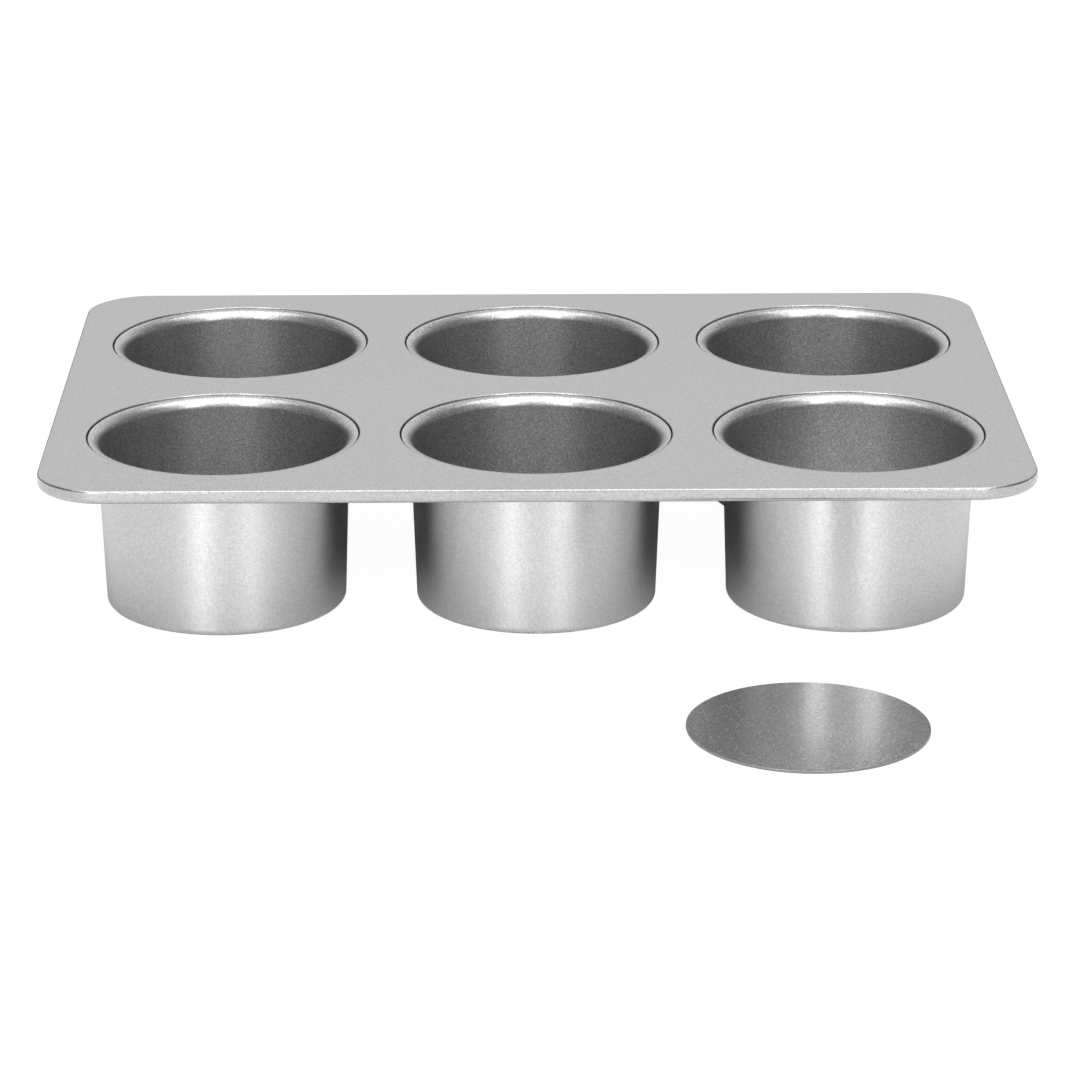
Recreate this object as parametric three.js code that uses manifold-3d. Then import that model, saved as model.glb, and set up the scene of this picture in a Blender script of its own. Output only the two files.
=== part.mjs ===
// Mini cheesecake pan: a sheet-metal tray that carries six straight cups, each with a loose
// round base that is pushed up from below to lift the cake out. One base lies in front.
// Millimetres, +Z up, the cups' feet on z = 0. The origin is on the table, midway between
// left and right and midway between the tray's back edge and the front of the loose base.
import * as THREE from 'three';
import { mergeVertices } from 'three/addons/utils/BufferGeometryUtils.js';
import { ParametricGeometry } from 'three/addons/geometries/ParametricGeometry.js';
import Module from 'manifold-3d';

const wasm = await Module();
wasm.setup();

// Lay-out of the cups in the tray
const CUP_NAMES = [
  ['front_left', 'front_middle', 'front_right'],
  ['back_left', 'back_middle', 'back_right'],
];
const SEAM_RADIUS = 40; // middle of the groove round a cup's mouth
const WEB_ACROSS = 12.2; // flat tray between neighbouring mouths, left to right
const WEB_BETWEEN_ROWS = 17; // the same, front to back
const BORDER_SIDES = 11.3; // mouth to the outside of the rolled edge, left and right
const BORDER_ENDS = 15; // the same, front and back
const CORNER_RADIUS = 20;
const PAN_HEIGHT = 51; // table to tray top

// Sheets and wire
const TRAY_SHEET = 0.8;
const CUP_SHEET = 0.7;
const BASE_SHEET = 0.7;
const WIRE_DIAMETER = 1.8;

// Rolled edge round the tray
const WIRE_GAP = 0.3; // wire to the sheet rolled round it
const RIM_ROUND = 1.3; // outer bend of the roll
const RIM_SLOT = 0.5; // end of the roll to the tray's underside

// Seam: the cup's lip hooks over an upturned edge in a gutter round the tray's hole
const SEAM_DEPTH = 3.6; // tray top to gutter floor
const MOUTH_GAP = 0.3; // groove that shows between the tray's hole and the lip
const SEAM_GAP = 0.35; // between the hidden faces of the seam
const UPTURN_GAP = 1.45; // gutter's upturned edge to the crown of the lip above it
const LIP_DROP = 0.4; // crown of the lip below the tray top
const LIP_ROUND = 3; // visible bend from the cup's wall to the crown
const LIP_CURL = 0.4; // bend from the crown to the skirt in the gutter
const GUTTER_ROUND = 0.6; // outer bend under the gutter

// Cup below the seam
const CUP_TAPER = THREE.MathUtils.degToRad(2); // wall to the cup's axis
const FOOT_ROUND = 2;
const LEDGE_OVERLAP = 5.4; // ledge that carries the base, under its edge

// Loose bases
const BASE_CLEARANCE = 1.275; // base's edge to the upright wall above the ledge
const BASE_SEAT_GAP = 0.3;
const BASE_EDGE_BREAK = 0.15;
const LOOSE_BASE_X = 73; // base taken out: to the right of the middle
const LOOSE_BASE_GAP = 21.5; // and this far in front of the tray's edge

// Fineness of the faceted solids
const ROUND_SIDES = 32;
const CORNER_STEPS = 6;
const WIRE_SIDES = 8;
const CUT_MARGIN = 1; // a cut runs this far past the sheet

// Derived positions. Radii are from a cup's axis.
const columnPitch = 2 * SEAM_RADIUS + WEB_ACROSS;
const rowPitch = 2 * SEAM_RADIUS + WEB_BETWEEN_ROWS;
const halfWidth = columnPitch * (CUP_NAMES[0].length - 1) / 2 + SEAM_RADIUS + BORDER_SIDES;
const halfDepth = rowPitch * (CUP_NAMES.length - 1) / 2 + SEAM_RADIUS + BORDER_ENDS;
const rimSize = WIRE_DIAMETER + 2 * (WIRE_GAP + TRAY_SHEET);

const collarRadius = SEAM_RADIUS + MOUTH_GAP / 2;
const holeEdgeRadius = collarRadius + TRAY_SHEET;
const skirtOuter = SEAM_RADIUS - MOUTH_GAP / 2;
const skirtInner = skirtOuter - CUP_SHEET;
const upturnFace = skirtInner - SEAM_GAP;
const upturnBack = upturnFace - TRAY_SHEET;

const lipAxisRadius = skirtOuter - LIP_CURL;
const wallTopInner = lipAxisRadius - LIP_ROUND;
const crown = PAN_HEIGHT - LIP_DROP;
const wallTop = crown - LIP_ROUND;
const wallSpread = Math.tan(CUP_TAPER);
const wallTopOuter = wallTopInner + CUP_SHEET;
const footOuter = wallTopOuter - wallSpread * (wallTop - FOOT_ROUND);
const footAxisRadius = footOuter - FOOT_ROUND;
const baseRadius = footOuter - CUP_SHEET - BASE_CLEARANCE;
const pushHoleRadius = baseRadius - LEDGE_OVERLAP;

// A curve through an arc, as points for a profile.
function arc(x, y, radius, from, to, steps) {
  const curve = new THREE.EllipseCurve(x, y, radius, radius, from, to, to < from);
  return curve.getPoints(steps);
}

function at(x, y) {
  return new THREE.Vector2(x, y);
}

// Joins shared corners and leaves out the faces that shrink to nothing on the axis.
function weld(geometry) {
  geometry.deleteAttribute('normal');
  geometry.deleteAttribute('uv');
  const welded = mergeVertices(geometry, 1e-4);
  const corners = welded.index.array;
  const faces = [];
  for (let i = 0; i < corners.length; i += 3) {
    const [a, b, c] = corners.slice(i, i + 3);
    if (a !== b && b !== c && c !== a) faces.push(a, b, c);
  }
  welded.setIndex(faces);
  return welded;
}

// Turns a profile of (radius, height) about Z. The material lies left of the profile's run.
function revolve(profile) {
  const geometry = new THREE.LatheGeometry(profile, ROUND_SIDES);
  geometry.rotateX(Math.PI / 2);
  return weld(geometry);
}

// The tray's outline, a rounded rectangle, set in from its outer edge.
function outline(inset) {
  const x = halfWidth - CORNER_RADIUS;
  const y = halfDepth - CORNER_RADIUS;
  const radius = CORNER_RADIUS - inset;
  const quarter = Math.PI / 2;
  const shape = new THREE.Shape();
  shape.absarc(x, y, radius, 0, quarter);
  shape.absarc(-x, y, radius, quarter, 2 * quarter);
  shape.absarc(-x, -y, radius, 2 * quarter, 3 * quarter);
  shape.absarc(x, -y, radius, 3 * quarter, 4 * quarter);
  return shape;
}

// Runs a closed profile of (inset, height) round the tray's outline.
function sweepRound(profile) {
  const rings = profile.map((p) => outline(p.x).getPoints(CORNER_STEPS / 2));
  const around = rings[0].length;
  const across = profile.length;
  const surface = (u, v, target) => {
    const j = Math.round(v * across) % across;
    const p = rings[j][Math.round(u * around) % around];
    target.set(p.x, p.y, profile[j].y);
  };
  return weld(new ParametricGeometry(surface, around, across));
}

function toSolid(geometry) {
  return new wasm.Manifold(new wasm.Mesh({
    numProp: 3,
    vertProperties: new Float32Array(geometry.attributes.position.array),
    triVerts: new Uint32Array(geometry.index.array),
  }));
}

function toGeometry(solid) {
  const mesh = solid.getMesh();
  const geometry = new THREE.BufferGeometry();
  geometry.setAttribute('position', new THREE.BufferAttribute(mesh.vertProperties, mesh.numProp));
  geometry.setIndex(new THREE.BufferAttribute(mesh.triVerts, 1));
  geometry.computeVertexNormals();
  return geometry;
}

// Tray, with the sheet's underside on its own z = 0: the sheet, the edge rolled round the
// wire, and at each hole a boss that the seam's section is turned out of.
function trayGeometry(axes) {
  const top = TRAY_SHEET;
  const sheet = weld(new THREE.ExtrudeGeometry(outline(RIM_ROUND), {
    depth: TRAY_SHEET,
    bevelEnabled: false,
    curveSegments: CORNER_STEPS / 2,
  }));
  let tray = toSolid(sheet).add(toSolid(sweepRound(rimProfile())));

  const floor = top - SEAM_DEPTH;
  const under = floor - TRAY_SHEET;
  const upturnTop = top - LIP_DROP - CUP_SHEET - UPTURN_GAP;
  const boss = revolve([
    at(0, under),
    ...arc(holeEdgeRadius - GUTTER_ROUND, under + GUTTER_ROUND, GUTTER_ROUND,
      -Math.PI / 2, 0, 1),
    at(holeEdgeRadius, top / 2),
    at(0, top / 2),
  ]);
  const cut = revolve([
    at(0, under - CUT_MARGIN),
    at(upturnBack, under - CUT_MARGIN),
    at(upturnBack, upturnTop),
    at(upturnFace, upturnTop),
    at(upturnFace, floor),
    at(collarRadius, floor),
    ...arc(holeEdgeRadius, 0, TRAY_SHEET, Math.PI, Math.PI / 2, 2),
    at(holeEdgeRadius, top + CUT_MARGIN),
    at(0, top + CUT_MARGIN),
  ]);
  for (const { x, y } of axes) {
    tray = tray.add(toSolid(boss.clone().translate(x, y, 0)));
  }
  for (const { x, y } of axes) {
    tray = tray.subtract(toSolid(cut.clone().translate(x, y, 0)));
  }
  return toGeometry(tray);
}

// Section of the rolled edge as (inset, height): the sheet bends down, in under the wire and
// up again, and ends short of the tray's underside.
function rimProfile() {
  const half = Math.PI / 2;
  const inner = RIM_ROUND - TRAY_SHEET;
  const bottom = TRAY_SHEET - rimSize;
  const low = bottom + RIM_ROUND;
  const high = TRAY_SHEET - RIM_ROUND;
  const far = rimSize - RIM_ROUND;
  const points = [
    ...arc(RIM_ROUND, high, inner, half, Math.PI, 1),
    ...arc(RIM_ROUND, low, inner, Math.PI, 3 * half, 1),
    ...arc(far, low, inner, 3 * half, 4 * half, 1),
    at(rimSize - TRAY_SHEET, -RIM_SLOT),
    at(rimSize, -RIM_SLOT),
    ...arc(far, low, RIM_ROUND, 0, -half, 2),
    ...arc(RIM_ROUND, low, RIM_ROUND, -half, -2 * half, 2),
    ...arc(RIM_ROUND, high, RIM_ROUND, Math.PI, half, 3),
  ];
  return points;
}

function wireGeometry() {
  const middle = rimSize / 2;
  const circle = arc(middle, TRAY_SHEET - middle, WIRE_DIAMETER / 2, 2 * Math.PI, 0, WIRE_SIDES);
  return sweepRound(circle.slice(0, WIRE_SIDES));
}

// Cup, standing on z = 0: a tapered sleeve with a ledge turned in at its foot and a lip that
// rolls out at its mouth and down into the tray's gutter.
function cupGeometry() {
  const half = Math.PI / 2;
  const innerRound = FOOT_ROUND - CUP_SHEET;
  const skirtEnd = PAN_HEIGHT - SEAM_DEPTH + SEAM_GAP;
  const underLip = LIP_ROUND - CUP_SHEET;
  const hookAngle = Math.acos((skirtInner - lipAxisRadius) / underLip);
  const profile = [
    at(pushHoleRadius, 0),
    ...arc(footAxisRadius, FOOT_ROUND, FOOT_ROUND, -half, 0, 3),
    ...arc(lipAxisRadius, wallTop, underLip, Math.PI, hookAngle, 2),
    at(skirtInner, skirtEnd),
    at(skirtOuter, skirtEnd),
    ...arc(lipAxisRadius, crown - LIP_CURL, LIP_CURL, 0, half, 2),
    ...arc(lipAxisRadius, wallTop, LIP_ROUND, half, Math.PI, 4).slice(1),
    ...arc(footAxisRadius, FOOT_ROUND, innerRound, 0, -half, 2),
    at(pushHoleRadius, CUP_SHEET),
    at(pushHoleRadius, 0),
  ];
  return revolve(profile);
}

// Base: a flat blank with its upper edge broken, lying on its own z = 0.
function baseGeometry() {
  const edge = baseRadius - BASE_EDGE_BREAK;
  return revolve([
    at(0, 0),
    at(baseRadius, 0),
    at(baseRadius, BASE_SHEET - BASE_EDGE_BREAK),
    at(edge, BASE_SHEET),
    at(0, BASE_SHEET),
  ]);
}

function coated(color) {
  return new THREE.MeshStandardMaterial({ color, metalness: 0.75, roughness: 0.38 });
}

const group = new THREE.Group();

// The tray's middle stands behind the origin, because the loose base lies in front.
const loosePast = LOOSE_BASE_GAP + 2 * baseRadius;
const pan = new THREE.Group();
pan.position.y = loosePast / 2;
group.add(pan);

const cupAxes = CUP_NAMES.flatMap((names, row) => names.map((name, column) => ({
  name,
  x: (column - (names.length - 1) / 2) * columnPitch,
  y: (row - (CUP_NAMES.length - 1) / 2) * rowPitch,
})));

const tray = new THREE.Mesh(trayGeometry(cupAxes), coated(0xb9babb));
tray.name = 'tray_frame';
tray.position.z = PAN_HEIGHT - TRAY_SHEET;
pan.add(tray);

const wire = new THREE.Mesh(
  wireGeometry(),
  new THREE.MeshStandardMaterial({ color: 0x8d8f91, metalness: 1, roughness: 0.35 }),
);
wire.name = 'rim_wire';
wire.position.z = PAN_HEIGHT - TRAY_SHEET;
pan.add(wire);

const cupShape = cupGeometry();
const baseShape = baseGeometry();
for (const { name, x, y } of cupAxes) {
  const place = new THREE.Group();
  place.position.set(x, y, 0);
  pan.add(place);

  const cup = new THREE.Mesh(cupShape, coated(0xb4b5b6));
  cup.name = `cup_${name}`;
  place.add(cup);

  const base = new THREE.Mesh(baseShape, coated(0x8c8d8e));
  base.name = `base_${name}`;
  if (name === 'front_right') {
    base.position.set(LOOSE_BASE_X, -halfDepth - loosePast + baseRadius, 0);
    pan.add(base);
  } else {
    base.position.z = CUP_SHEET + BASE_SEAT_GAP;
    place.add(base);
  }
}

export default group;
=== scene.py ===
# %% [markdown]
# Mini cheesecake pan: a coated steel tray with six straight cups and their loose bases.
# The measured solids come in first as a fixed frame, in metres, with the feet on z = 0.
# Every piece made below is drawn over one of those solids, so nothing has to be fitted later.

# %% Load the frame
import math

import bmesh
import bpy
from mathutils import Matrix, Vector


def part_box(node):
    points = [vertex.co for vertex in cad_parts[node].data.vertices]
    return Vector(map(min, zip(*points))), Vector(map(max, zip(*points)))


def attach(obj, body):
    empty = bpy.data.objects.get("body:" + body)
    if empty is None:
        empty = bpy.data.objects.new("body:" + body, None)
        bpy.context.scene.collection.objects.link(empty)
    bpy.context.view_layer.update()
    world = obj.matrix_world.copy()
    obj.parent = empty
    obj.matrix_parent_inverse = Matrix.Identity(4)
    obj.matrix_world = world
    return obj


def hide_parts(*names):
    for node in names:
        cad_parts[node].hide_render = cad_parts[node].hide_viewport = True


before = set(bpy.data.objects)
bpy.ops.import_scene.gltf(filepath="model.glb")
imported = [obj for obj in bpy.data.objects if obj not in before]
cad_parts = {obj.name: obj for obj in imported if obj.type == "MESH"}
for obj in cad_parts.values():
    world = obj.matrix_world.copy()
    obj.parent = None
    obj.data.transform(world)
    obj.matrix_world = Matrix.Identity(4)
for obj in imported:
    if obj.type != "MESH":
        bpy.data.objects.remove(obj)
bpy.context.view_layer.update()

MM = 0.001
scene = bpy.context.scene
scene.view_settings.view_transform = "Standard"
scene.view_settings.look = "None"

# %% [markdown]
# The camera is a long lens, about nineteen degrees above the table and almost square to the
# front of the tray. A camera can be placed by hand until the outlines agree, but here its
# place was solved from the outlines of the rings and cups, so it is set from those numbers.

# %% Camera
IMAGE_SIDE = 1066
FOCAL_PIXELS = 4205
SENSOR = 36.0
AIM = Vector((-2.2, -97.1, 51.0)) * MM
AIM_DISTANCE = 1151.5 * MM
TURN, RISE, ROLL = (math.radians(a) for a in (-0.76, 18.74, 0.02))

back = Vector((math.sin(TURN) * math.cos(RISE), -math.cos(TURN) * math.cos(RISE), math.sin(RISE)))
right = Vector((math.cos(TURN), math.sin(TURN), 0))
lens = bpy.data.cameras.new("photo_camera")
lens.sensor_width = SENSOR
lens.lens = SENSOR * FOCAL_PIXELS / IMAGE_SIDE
lens.clip_start, lens.clip_end = 0.05, 30
camera = bpy.data.objects.new("photo_camera", lens)
scene.collection.objects.link(camera)
facing = Matrix((right, back.cross(right), back)).transposed()
turned = facing @ Matrix.Rotation(-ROLL, 3, "Z")
camera.matrix_world = Matrix.Translation(AIM + back * AIM_DISTANCE) @ turned.to_4x4()
scene.camera = camera
print("lens", round(lens.lens, 1), "mm, camera at", [round(v, 3) for v in camera.location])

# %% [markdown]
# Shader maths reads best as plain expressions, so a small class wraps a node's output and
# turns +, -, * and > into Math nodes. Anything else, such as a texture or a ramp, comes from
# one method that takes the node's type, its settings and what goes into its sockets.

# %% Shader helper
class Out:
    def __init__(self, finish, socket):
        self.finish = finish
        self.socket = socket

    def maths(self, operation, first, second):
        return self.finish.node("ShaderNodeMath", {"operation": operation}, {0: first, 1: second})

    def __add__(self, other):
        return self.maths("ADD", self, other)

    def __radd__(self, other):
        return self.maths("ADD", other, self)

    def __sub__(self, other):
        return self.maths("SUBTRACT", self, other)

    def __rsub__(self, other):
        return self.maths("SUBTRACT", other, self)

    def __mul__(self, other):
        return self.maths("MULTIPLY", self, other)

    def __rmul__(self, other):
        return self.maths("MULTIPLY", other, self)

    def __gt__(self, other):
        return self.maths("GREATER_THAN", self, other)


class Finish:
    def __init__(self, owner, shader="Principled BSDF"):
        owner.use_nodes = True
        self.owner = owner
        self.tree = owner.node_tree
        self.shader = self.tree.nodes[shader]

    def feed(self, socket, value):
        if isinstance(value, Out):
            self.tree.links.new(value.socket, socket)
        else:
            socket.default_value = value

    def node(self, kind, settings=None, sockets=None, out=0):
        made = self.tree.nodes.new(kind)
        settings = dict(settings or {})
        for position, grey in settings.pop("stops", []):
            stop = made.color_ramp.elements.new(position)
            stop.color = (grey, grey, grey, 1)
        for key, value in settings.items():
            setattr(made, key, value)
        for key, value in (sockets or {}).items():
            self.feed(made.inputs[key], value)
        return Out(self, made.outputs[out])

    def set(self, **values):
        for key, value in values.items():
            self.feed(self.shader.inputs[key.replace("_", " ")], value)


print("shader helper ready")

# %% [markdown]
# The coating is a silver-grey non-stick layer with tiny metal flakes in it. From a distance it
# is a satin metal; close up it is grainy, and it sparkles where it is dark. Specks painted alone
# would show everywhere alike, so each cell of a Voronoi texture is a flake that leans its own
# way and mirrors something else than its neighbour. An attribute of the mesh says where the coat
# is thick: 1 inside a cup and on the flat of a base, where the grain is coarser and a few flakes
# flash, 0 elsewhere, and below 0 on a cut edge, which is duller. The flashing flakes are also
# painted lighter, a painted glint on top of their lean. On a cup the same attribute paints the
# inside a little darker, painted shade in the hollow; on a base it lightens the flats and darkens
# the cut edge. A much broader noise lets the tone and the gloss drift over the sheet.

# %% Silver coating
MEAN = 0.5
CLOUD = 55 * MM
CLOUD_DETAIL = 3.0
CLOUD_TONE = 0.10
CLOUD_GLOSS = 0.08
COOL = 1.008
THICK_GLOSS = 0.03
THICK_GRAIN = 1.15
FLASHING_SHARE = 0.08
# How much lighter a flashing flake is painted: a painted glint.
PAINTED_GLINT = 0.36
GLITTER_AND_SHADE = "glitter_and_shade"


def silver_coating(name, tone, gloss_loss, flake_size, grain, lean, glitter_lean=0, coat_tone_and_painted_shade=0):
    finish = Finish(bpy.data.materials.new(name))
    where = finish.node("ShaderNodeTexCoord", out="Object")
    flake = finish.node(
        "ShaderNodeTexVoronoi", {"feature": "F1"}, {"Vector": where, "Scale": 1 / flake_size}, "Color")
    chance = finish.node("ShaderNodeTexWhiteNoise", None, {"Vector": flake}, "Value")
    shade = finish.node("ShaderNodeSeparateColor", None, {"Color": flake}, "Green")
    cloud = finish.node(
        "ShaderNodeTexNoise", None,
        {"Vector": where, "Scale": 1 / CLOUD, "Detail": CLOUD_DETAIL}, "Fac")
    glitter_and_shade = finish.node("ShaderNodeAttribute", {"attribute_name": GLITTER_AND_SHADE}, None, "Fac")

    # A few flakes on the thick coat flash: they lean further, and their colour is lifted too, a
    # painted glint.
    sparkle = glitter_and_shade * (chance > 1 - FLASHING_SHARE)
    grain_and_painted_glint = (shade - MEAN) * grain * (1 + glitter_and_shade * THICK_GRAIN) + sparkle * PAINTED_GLINT
    # The thick-coat factor paints a cup's inside 11 per cent darker, painted shade in the hollow; on a
    # base it lightens the flats and darkens the cut edge.
    lightness = tone * (1 + glitter_and_shade * coat_tone_and_painted_shade) * (1 + grain_and_painted_glint + (cloud - MEAN) * CLOUD_TONE)
    colour = finish.node(
        "ShaderNodeCombineColor", None,
        {"Red": lightness, "Green": lightness, "Blue": lightness * COOL}, "Color")
    roughness = gloss_loss - glitter_and_shade * THICK_GLOSS + (cloud - MEAN) * CLOUD_GLOSS

    sheet_normal = finish.node("ShaderNodeNewGeometry", out="Normal")
    side = finish.node(
        "ShaderNodeVectorMath", {"operation": "SUBTRACT"}, {0: flake, 1: (MEAN, MEAN, MEAN)})
    amount = lean + sparkle * glitter_lean
    leaning = finish.node("ShaderNodeVectorMath", {"operation": "SCALE"}, {0: side, "Scale": amount})
    tilted = finish.node("ShaderNodeVectorMath", {"operation": "ADD"}, {0: sheet_normal, 1: leaning})
    normal = finish.node("ShaderNodeVectorMath", {"operation": "NORMALIZE"}, {0: tilted})
    finish.set(Base_Color=colour, Roughness=roughness, Normal=normal)
    return finish


tray_finish = silver_coating(
    "tray_silver_coating", tone=0.44, gloss_loss=0.26,
    flake_size=0.45 * MM, grain=0.28, lean=0.05)
tray_finish.set(Metallic=1.0)
# Inside each cup the colour is painted 11 per cent darker: painted shade in the hollow.
cup_finish = silver_coating(
    "cup_silver_coating", tone=0.56, gloss_loss=0.37,
    flake_size=0.30 * MM, grain=0.29, lean=0.04, glitter_lean=0.12, coat_tone_and_painted_shade=-0.11)
cup_finish.set(Metallic=1.0, Anisotropic=0.5, Anisotropic_Rotation=0.25)
base_finish = silver_coating(
    "base_silver_coating", tone=0.25, gloss_loss=0.18,
    flake_size=0.34 * MM, grain=0.21, lean=0.02, glitter_lean=0.35, coat_tone_and_painted_shade=0.46)
base_finish.set(Metallic=0.66)
tray_coat, cup_coat, base_coat = (f.owner for f in (tray_finish, cup_finish, base_finish))
print("coatings:", tray_coat.name, cup_coat.name, base_coat.name)

# %% [markdown]
# The wire inside the rolled edge is plain drawn steel. It only shows through the slot under
# the rim, so its measured solid stays, and it gets a finish with a fine grain of its own.

# %% Drawn steel
STEEL_GRAIN = 0.4 * MM
STEEL_DETAIL = 2.0
DARK_STEEL, STEEL_RANGE = 0.30, 0.22
STEEL_GLOSS_LOSS, STEEL_GLOSS_RANGE = 0.28, 0.2
STEEL_BLUE = 1.02


def drawn_steel(name):
    finish = Finish(bpy.data.materials.new(name))
    where = finish.node("ShaderNodeTexCoord", out="Object")
    grain = finish.node(
        "ShaderNodeTexNoise", None,
        {"Vector": where, "Scale": 1 / STEEL_GRAIN, "Detail": STEEL_DETAIL}, "Fac")
    grey = DARK_STEEL + grain * STEEL_RANGE
    colour = finish.node(
        "ShaderNodeCombineColor", None,
        {"Red": grey, "Green": grey, "Blue": grey * STEEL_BLUE}, "Color")
    roughness = STEEL_GLOSS_LOSS + grain * STEEL_GLOSS_RANGE
    finish.set(Base_Color=colour, Roughness=roughness, Metallic=1.0)
    return finish.owner


wire_steel = drawn_steel("rim_wire_steel")
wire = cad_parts["rim_wire"]
wire.data.materials.clear()
wire.data.materials.append(wire_steel)
print("wire finish on", wire.name)

# %% [markdown]
# Sheet metal is easiest to draw the way it is bent. A section is a few corner points that run
# along one face of the sheet and back along the other; a vertex bevel rounds each corner to its
# bend radius; the section is then spun or swept. A Solidify modifier would be shorter, but it
# folds over itself inside a bend that is tighter than the sheet is thick. A point just beside
# each bend keeps the straight stretches flat when the faces are shaded smooth.

# %% Sections and bends
LEAD = 0.3 * MM
LEAST_LEAD = LEAD / 6
LEAD_SHARE = 0.25
WELD = 0.01 * MM


def bend_reach(last, here, following, bend):
    """How far a bend reaches from its corner along the straight stretches beside it."""
    return bend / math.tan((last - here).angle(following - here) / 2) if bend else 0


def draw_section(bm, corners, place, closed=False):
    """Joins (across, height, bend radius, steps) corners into a bent line, put in space by place."""
    spots = [Vector(corner[:2]) for corner in corners]
    around = list(zip(spots[-1:] + spots, spots, spots[1:] + spots[:1], corners))
    reach = [bend_reach(last, here, following, c[2]) for last, here, following, c in around]
    line, bends = [], []
    for i, (_, here, following, corner) in enumerate(around):
        line.append(bm.verts.new(place(*here)))
        if reach[i]:
            bends.append((line[-1], reach[i], corner[3]))
        if not closed and here == spots[-1]:
            break
        straight = (following - here).normalized()
        spare = (following - here).length - reach[i] - reach[(i + 1) % len(reach)]
        lead = min(LEAD, spare * LEAD_SHARE)
        if lead > LEAST_LEAD:
            line.append(bm.verts.new(place(*(here + straight * (reach[i] + lead)))))
            line.append(bm.verts.new(place(*(here + straight * (reach[i] + spare - lead)))))
    for first, second in zip(line, line[1:] + line[:1] if closed else line[1:]):
        bm.edges.new((first, second))
    for vert, offset, steps in bends:
        bmesh.ops.bevel(
            bm, geom=[vert], offset=offset, offset_type="OFFSET", segments=steps, profile=0.5,
            affect="VERTICES", material=-1, clamp_overlap=False)
    bmesh.ops.remove_doubles(bm, verts=bm.verts, dist=WELD)


def spin_section(bm, geometry, centre, angle, steps, full):
    return bmesh.ops.spin(
        bm, geom=geometry, cent=centre, axis=(0, 0, 1), angle=angle, steps=steps, use_merge=full)


def sheet_piece(name, bm, coat, glitter_and_shade_at):
    """Closes the seams, turns the faces out and marks the thick coat: flashing flakes and, in a cup,
    painted shade.
    """
    bmesh.ops.remove_doubles(bm, verts=bm.verts, dist=WELD)
    bmesh.ops.recalc_face_normals(bm, faces=bm.faces)
    for face in bm.faces:
        face.smooth = True
    mark = bm.verts.layers.float.new(GLITTER_AND_SHADE)
    for vert in bm.verts:
        vert[mark] = glitter_and_shade_at(vert.co)
    mesh = bpy.data.meshes.new(name)
    bm.to_mesh(mesh)
    bm.free()
    mesh.materials.append(coat)
    piece = bpy.data.objects.new(name, mesh)
    scene.collection.objects.link(piece)
    return piece


ROUND_STEPS = 160
CUP_PLACES = ["front_left", "front_middle", "front_right", "back_left", "back_middle", "back_right"]
print("section helpers ready for", len(CUP_PLACES), "cups")

# %% [markdown]
# Sizes that the pieces share: the seam circle round each mouth, the sheets, and where each
# cup stands. The places are read from the measured solids, so they can't drift apart.

# %% Shared sizes
SEAM = 40.0 * MM
MOUTH_GAP = 0.3 * MM
SEAM_GAP = 0.35 * MM
SEAM_DEPTH = 3.6 * MM
TRAY_SHEET = 0.8 * MM
CUP_SHEET = 0.7 * MM
EDGE_BREAK = 0.15 * MM
TAPER = math.tan(math.radians(2.0))

tray_low, tray_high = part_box("tray_frame")
TOP = tray_high.z


def middle_of(node):
    low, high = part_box(node)
    return (low + high) / 2


cup_centres = {place: middle_of("cup_" + place) for place in CUP_PLACES}
print("tray top at", round(TOP / MM, 1), "mm")

# %% [markdown]
# A cup is a drawn sleeve. Its lip rolls outwards and down into the tray's seam, and its foot
# turns in to a ledge that carries the base. It could be lathed with a Screw modifier; here a
# closed section runs up the inside, over the lip and back down the outside, and is spun once.

# %% Cups
LEDGE_HOLE = 28.18 * MM
LIP_BEND = 3.0 * MM
CURL_BEND = 0.4 * MM
UNDER_BEND = 1.9 * MM
FOOT_BEND = 1.3 * MM
LIP_DROP = 0.4 * MM
CROWN = TOP - LIP_DROP
lip_edge = SEAM - MOUTH_GAP / 2
wall_at_lip = lip_edge - CURL_BEND - LIP_BEND


def wall_radius(height):
    return wall_at_lip + (height - (CROWN - LIP_BEND)) * TAPER


under_lip = CROWN - CUP_SHEET
skirt_end = TOP - SEAM_DEPTH + SEAM_GAP
cup_section = [
    (LEDGE_HOLE, CUP_SHEET, EDGE_BREAK, 2),
    (wall_radius(CUP_SHEET), CUP_SHEET, FOOT_BEND, 8),
    (wall_radius(CROWN), CROWN, LIP_BEND, 14),
    (lip_edge, CROWN, CURL_BEND, 5),
    (lip_edge, skirt_end, EDGE_BREAK, 2),
    (lip_edge - CUP_SHEET, skirt_end, EDGE_BREAK, 2),
    (lip_edge - CUP_SHEET, under_lip, 0, 0),
    (wall_radius(under_lip) + CUP_SHEET, under_lip, UNDER_BEND, 6),
    (wall_radius(0) + CUP_SHEET, 0, FOOT_BEND + CUP_SHEET, 10),
    (LEDGE_HOLE, 0, EDGE_BREAK, 2),
]


def make_cup(place):
    centre = cup_centres[place]
    bm = bmesh.new()
    draw_section(bm, cup_section, lambda r, z: Vector((centre.x + r, centre.y, z)), closed=True)
    spin_section(bm, bm.verts[:] + bm.edges[:], centre, 2 * math.pi, ROUND_STEPS, True)

    # The inside faces and the top of the lip take the thick coat, its flashing flakes and the painted
    # shade.
    def inside(spot):
        radius = math.hypot(spot.x - centre.x, spot.y - centre.y)
        return float(radius < wall_radius(spot.z) + CUP_SHEET / 2 or spot.z > CROWN - LIP_BEND / 2)

    return sheet_piece("drawn_cup_" + place, bm, cup_coat, inside)


cups = {place: make_cup(place) for place in CUP_PLACES}
print("cups:", len(cups), "faces each:", len(cups["front_left"].data.polygons))

# %% [markdown]
# The tray is one sheet: a flat with six holes, a gutter bent down round each hole for the
# cup's lip, and an edge rolled round the wire. A boolean would leave ragged shading, so the
# bent parts are spun and swept first, and the flat is filled in between their open edges.

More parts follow.
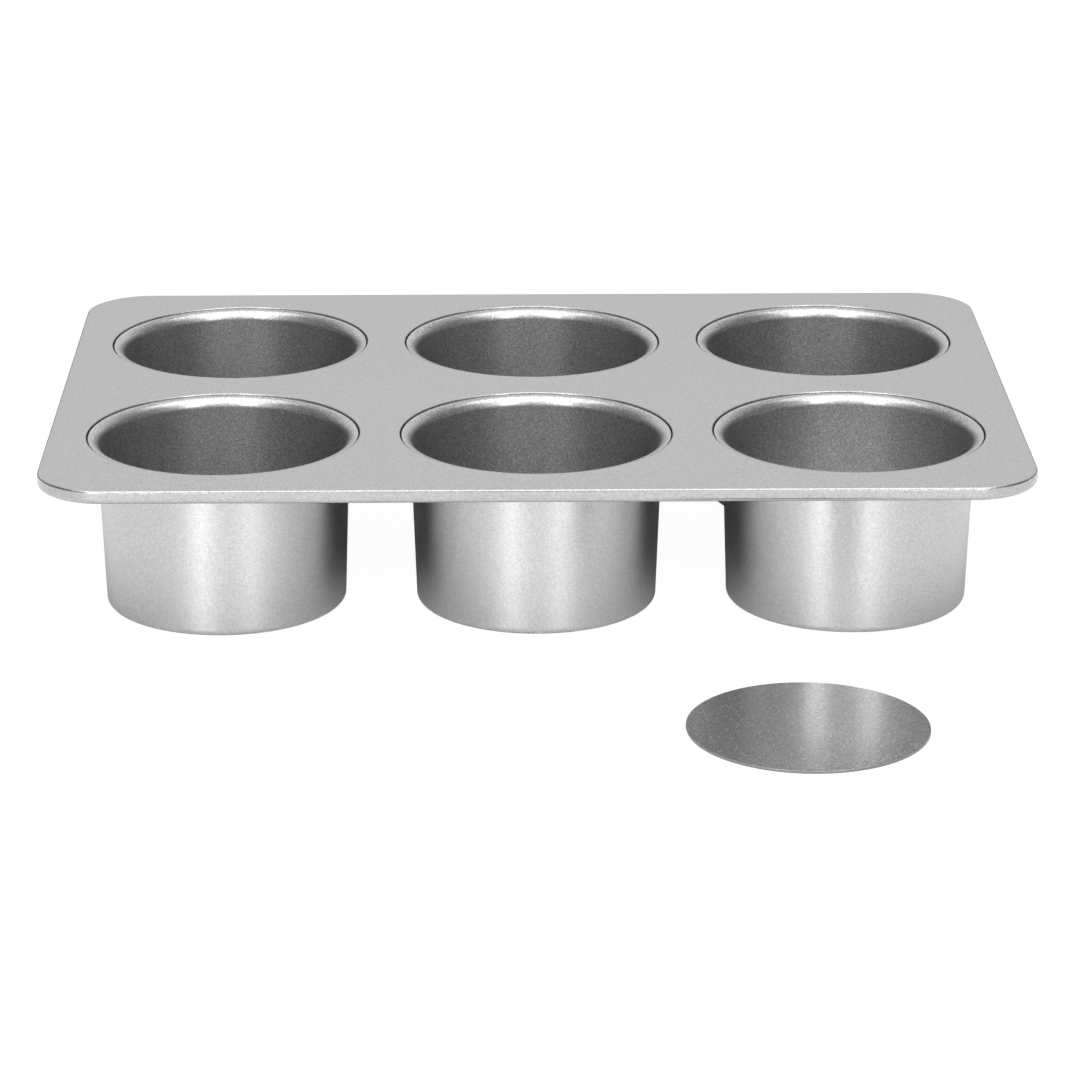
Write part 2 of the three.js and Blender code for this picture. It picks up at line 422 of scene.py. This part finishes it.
# %% Tray gutters
FLAT_START = 2.0 * MM
HOLE_BEND = 0.4 * MM
GUTTER_BEND = 0.3 * MM
UPTURN_DROP = 2.55 * MM
collar = SEAM + MOUTH_GAP / 2
upturn = lip_edge - CUP_SHEET - SEAM_GAP
gutter_floor = TOP - SEAM_DEPTH
under_floor = gutter_floor - TRAY_SHEET
under_flat = TOP - TRAY_SHEET

gutter_section = [
    (collar + FLAT_START, TOP, 0, 0),
    (collar, TOP, HOLE_BEND, 8),
    (collar, gutter_floor, GUTTER_BEND, 3),
    (upturn, gutter_floor, GUTTER_BEND, 3),
    (upturn, TOP - UPTURN_DROP, EDGE_BREAK, 2),
    (upturn - TRAY_SHEET, TOP - UPTURN_DROP, EDGE_BREAK, 2),
    (upturn - TRAY_SHEET, under_floor, TRAY_SHEET, 5),
    (collar + TRAY_SHEET, under_floor, TRAY_SHEET, 5),
    (collar + TRAY_SHEET, under_flat, EDGE_BREAK, 2),
    (collar + FLAT_START, under_flat, 0, 0),
]

tray_bm = bmesh.new()
for place in CUP_PLACES:
    centre = cup_centres[place]
    ring = bmesh.new()
    draw_section(ring, gutter_section, lambda r, z: Vector((centre.x + r, centre.y, z)))
    spin_section(ring, ring.verts[:] + ring.edges[:], centre, 2 * math.pi, ROUND_STEPS, True)
    ring_mesh = bpy.data.meshes.new("gutter_ring")
    ring.to_mesh(ring_mesh)
    ring.free()
    tray_bm.from_mesh(ring_mesh)
    bpy.data.meshes.remove(ring_mesh)
print("gutter faces:", len(tray_bm.faces))

# %% [markdown]
# The rolled edge keeps one section all the way round. Extruding that section along a side and
# spinning it a quarter turn at each corner follows the outline exactly, side after side.

# %% Tray rolled edge
CORNER = 20.0 * MM
RIM = 4.0 * MM
RIM_BEND = 0.6 * MM
ROLL_BEND = 1.3 * MM
ROLL_END = 1.3 * MM
CORNER_TURNS = 24
inner_bend = ROLL_BEND - TRAY_SHEET

rim_section = [
    (FLAT_START, TOP, 0, 0),
    (0, TOP, RIM_BEND, 8),
    (0, TOP - RIM, ROLL_BEND, 8),
    (RIM, TOP - RIM, ROLL_BEND, 6),
    (RIM, TOP - ROLL_END, EDGE_BREAK, 2),
    (RIM - TRAY_SHEET, TOP - ROLL_END, EDGE_BREAK, 2),
    (RIM - TRAY_SHEET, TOP - RIM + TRAY_SHEET, inner_bend, 4),
    (TRAY_SHEET, TOP - RIM + TRAY_SHEET, inner_bend, 4),
    (TRAY_SHEET, under_flat, EDGE_BREAK, 2),
    (FLAT_START, under_flat, 0, 0),
]

corner_low = tray_low + Vector((CORNER, CORNER, 0))
corner_high = tray_high - Vector((CORNER, CORNER, 0))
across = corner_high.x - corner_low.x
along = corner_high.y - corner_low.y
runs = [
    (Vector((across, 0, 0)), Vector((corner_high.x, corner_low.y, 0))),
    (Vector((0, along, 0)), Vector((corner_high.x, corner_high.y, 0))),
    (Vector((-across, 0, 0)), Vector((corner_low.x, corner_high.y, 0))),
    (Vector((0, -along, 0)), Vector((corner_low.x, corner_low.y, 0))),
]
rim_bm = bmesh.new()
draw_section(rim_bm, rim_section, lambda inset, z: Vector((corner_low.x, tray_low.y + inset, z)))
edges = rim_bm.edges[:]
for run, corner in runs:
    made = bmesh.ops.extrude_edge_only(rim_bm, edges=edges)["geom"]
    ends = [v for v in made if isinstance(v, bmesh.types.BMVert)]
    bmesh.ops.translate(rim_bm, verts=ends, vec=run)
    fresh = set(ends)
    edges = [e for e in rim_bm.edges if set(e.verts) <= fresh]
    last = spin_section(rim_bm, ends + edges, corner, math.pi / 2, CORNER_TURNS, False)["geom_last"]
    edges = [e for e in last if isinstance(e, bmesh.types.BMEdge)]
bmesh.ops.remove_doubles(rim_bm, verts=rim_bm.verts, dist=WELD)
rim_mesh = bpy.data.meshes.new("rim_roll")
rim_bm.to_mesh(rim_mesh)
rim_bm.free()
tray_bm.from_mesh(rim_mesh)
bpy.data.meshes.remove(rim_mesh)
print("with the rolled edge:", len(tray_bm.faces), "faces")

# %% [markdown]
# The flat is filled between the open edges, once on top and once underneath. A narrow flat
# strip was left beside every bend, so the bends' shading ends there and the flat stays even.

# %% Tray flat
for level in (TOP, under_flat):
    open_edges = [
        e for e in tray_bm.edges
        if e.is_boundary and all(abs(v.co.z - level) < WELD / 2 for v in e.verts)
    ]
    bmesh.ops.triangle_fill(tray_bm, use_beauty=True, edges=open_edges, normal=(0, 0, 1))
tray = sheet_piece("rolled_tray", tray_bm, tray_coat, lambda spot: 0.0)
print("tray faces:", len(tray.data.polygons))

# %% [markdown]
# A base is a blank punched from flat sheet. A circle is filled, extruded to the sheet's
# thickness and its edges are broken with a small bevel; an inset keeps the flats' shading flat.
# Its coat is thick on the flats and duller on the cut edge.

# %% Loose bases
BASE_SHEET = 0.7 * MM
BASE_BREAK = EDGE_BREAK / 2
BASE_BREAK_STEPS = 3
BASE_INSET = 0.5 * MM
THICK_COAT, CUT_EDGE = 1.0, -0.4


def make_base(place):
    low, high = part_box("base_" + place)
    centre = (low + high) / 2
    radius = (high.x - low.x) / 2
    bm = bmesh.new()
    bmesh.ops.create_circle(
        bm, cap_ends=True, segments=ROUND_STEPS, radius=radius,
        matrix=Matrix.Translation((centre.x, centre.y, low.z)))
    raised = bmesh.ops.extrude_face_region(bm, geom=bm.faces[:])["geom"]
    lifted = [v for v in raised if isinstance(v, bmesh.types.BMVert)]
    bmesh.ops.translate(bm, verts=lifted, vec=(0, 0, BASE_SHEET))
    rims = [e for e in bm.edges if abs(e.verts[0].co.z - e.verts[1].co.z) < WELD]
    bmesh.ops.bevel(
        bm, geom=rims, offset=BASE_BREAK, offset_type="OFFSET", segments=BASE_BREAK_STEPS,
        profile=0.5, affect="EDGES", material=-1)
    flats = [f for f in bm.faces if len(f.verts) > 4]
    bmesh.ops.inset_individual(bm, faces=flats, thickness=BASE_INSET, use_even_offset=True)

    def on_flat(spot):
        reach = math.hypot(spot.x - centre.x, spot.y - centre.y)
        return THICK_COAT if reach < radius - BASE_BREAK / 2 else CUT_EDGE

    return sheet_piece("punched_base_" + place, bm, base_coat, on_flat)


bases = {place: make_base(place) for place in CUP_PLACES}
print("bases:", len(bases))

# %% [markdown]
# Each new piece stands for one measured solid and moves with that solid's body, so a base can
# be lifted out of its cup and the pan stays behind.

# %% Ride with the bodies
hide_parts("tray_frame")
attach(tray, "pan")
for place in CUP_PLACES:
    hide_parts("cup_" + place)
    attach(cups[place], "pan")
    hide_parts("base_" + place)
    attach(bases[place], "base_" + place)
print("pieces riding:", 1 + len(cups) + len(bases))

# %% [markdown]
# The pan stands on a plain white table. Metal shows what stands round it, so the table is made
# twice: a matt one that the coating mirrors, with the pan's real shadows on it, and a brighter
# one, lit from within like a light table, that only the camera sees. The picture keeps its
# white ground and the cups still darken towards each other.

# %% Table
TABLE_HALF = 4.0
TABLE_CLOUD = 0.5
TABLE_DRIFT = 0.03
MATT_DROP = 0.1 * MM
GLOW_WHITE, GLOW = 0.06, 0.97
MATT_WHITE = 0.92


def white_table(name, white, glow):
    finish = Finish(bpy.data.materials.new(name))
    where = finish.node("ShaderNodeTexCoord", out="Object")
    drift = finish.node("ShaderNodeTexNoise", None, {"Vector": where, "Scale": 1 / TABLE_CLOUD}, "Fac")
    tone = white + drift * TABLE_DRIFT
    colour = finish.node(
        "ShaderNodeCombineColor", None, {"Red": tone, "Green": tone, "Blue": tone}, "Color")
    finish.set(
        Base_Color=colour, Roughness=0.9, Specular_IOR_Level=0.1,
        Emission_Color=(1, 1, 1, 1), Emission_Strength=glow)
    return finish.owner


def lay_table(name, height, material):
    bm = bmesh.new()
    bmesh.ops.create_grid(bm, x_segments=1, y_segments=1, size=TABLE_HALF)
    bmesh.ops.translate(bm, verts=bm.verts, vec=(0, 0, height))
    mesh = bpy.data.meshes.new(name)
    bm.to_mesh(mesh)
    bm.free()
    mesh.materials.append(material)
    top = bpy.data.objects.new(name, mesh)
    scene.collection.objects.link(top)
    return top


light_table = lay_table("light_table", 0, white_table("table_glow", GLOW_WHITE, GLOW))
light_table.visible_diffuse = False
light_table.visible_glossy = False
light_table.visible_shadow = False
matt_table = lay_table("matt_table", -MATT_DROP, white_table("table_white", MATT_WHITE, 0))
matt_table.visible_camera = False
print("table is", 2 * TABLE_HALF, "m wide")

# %% [markdown]
# Soft studio light: a large box overhead lights the tray, the lips and the table. Two flat boxes
# stand low in front of the pan, left and right of the camera, because the cups lean inwards and
# mirror what is near the table; they draw the two bright bands down every cup. Two upright
# panels above them reach the loose base by way of the cup behind it, as two soft streaks that
# fade where the tray overhangs the cup.

# %% Lights
PAN_MIDDLE = Vector((0, 0.03, 0.04))
OVERHEAD, LOW_BOX, PANEL = (1.5, 1.74), (0.20, 0.05), (0.12, 0.24)


def soft_box(name, spot, size, watts):
    light = bpy.data.lights.new(name, "AREA")
    light.shape = "RECTANGLE"
    light.size, light.size_y = size
    light.energy = watts
    box = bpy.data.objects.new(name, light)
    box.location = spot
    box.rotation_euler = (PAN_MIDDLE - Vector(spot)).to_track_quat("-Z", "Y").to_euler()
    scene.collection.objects.link(box)
    print(name, "gives", watts, "W")


soft_box("overhead_box", (0, -0.22, 1.17), OVERHEAD, 17.5)
soft_box("front_left_box", (-0.40, -0.95, 0.03), LOW_BOX, 1.55)
soft_box("front_right_box", (0.36, -0.95, 0.03), LOW_BOX, 1.05)
soft_box("left_panel", (-0.48, -0.95, 0.56), PANEL, 1.75)
soft_box("right_panel", (0.50, -0.95, 0.56), PANEL, 1.65)

# %% [markdown]
# The studio is white in front and behind, open and dimmer at the sides, and dark along the
# table's edge. A flat white world would fill in the lips from all round; this one leaves each
# lip a bright crescent at the back and lets its sides fall off into the cup.

# %% Studio walls
SIDES, ENDS = 0.24, 1.0
TABLE_EDGE, WALL = (0.14, 0.28), (0.26, 1.0)
studio = Finish(bpy.data.worlds.new("studio"), "Background")
heading = studio.node("ShaderNodeTexCoord", out="Generated")
ahead = studio.node("ShaderNodeSeparateXYZ", None, {"Vector": heading}, "Y")
rise = studio.node("ShaderNodeSeparateXYZ", None, {"Vector": heading}, "Z")
edge = studio.node("ShaderNodeValToRGB", {"stops": [TABLE_EDGE, WALL]}, {"Fac": rise}, "Color")
studio.set(Color=edge, Strength=SIDES + ahead * ahead * ENDS)
scene.world = studio.owner
print("studio walls from", SIDES, "at the sides to", SIDES + ENDS, "at the ends")

# %% [markdown]

# %% Finish
print("scene built")
